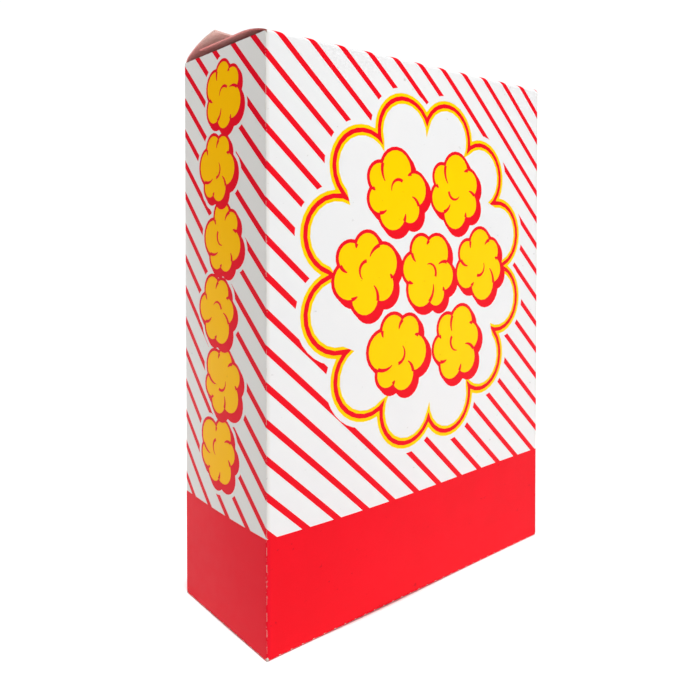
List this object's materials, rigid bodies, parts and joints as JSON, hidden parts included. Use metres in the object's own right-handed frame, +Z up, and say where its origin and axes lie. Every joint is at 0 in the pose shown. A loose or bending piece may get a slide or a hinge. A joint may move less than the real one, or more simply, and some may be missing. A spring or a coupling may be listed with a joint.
{
  "type": "popcorn box",
  "caption": "Shut upright popcorn carton of folded printed paperboard, red and white slanted stripes, red foot band, bowed panels and overlapping top flaps.",
  "frame": {"origin": "middle of the base, on the surface that the carton stands on", "axes": "+Z up, +X right along the front panel, +Y from the front panel to the back panel"},
  "size_m": [0.1342, 0.0566, 0.1912],
  "materials": {
    "white_print": "coated board, white print ground, satin",
    "red_print": "red ink on coated board, satin",
    "yellow_print": "yellow ink on coated board, satin",
    "plain_board": "uncoated board, matt"
  },
  "bodies": {
    "root": {"carton": "white_print"}
  },
  "joints": []
}
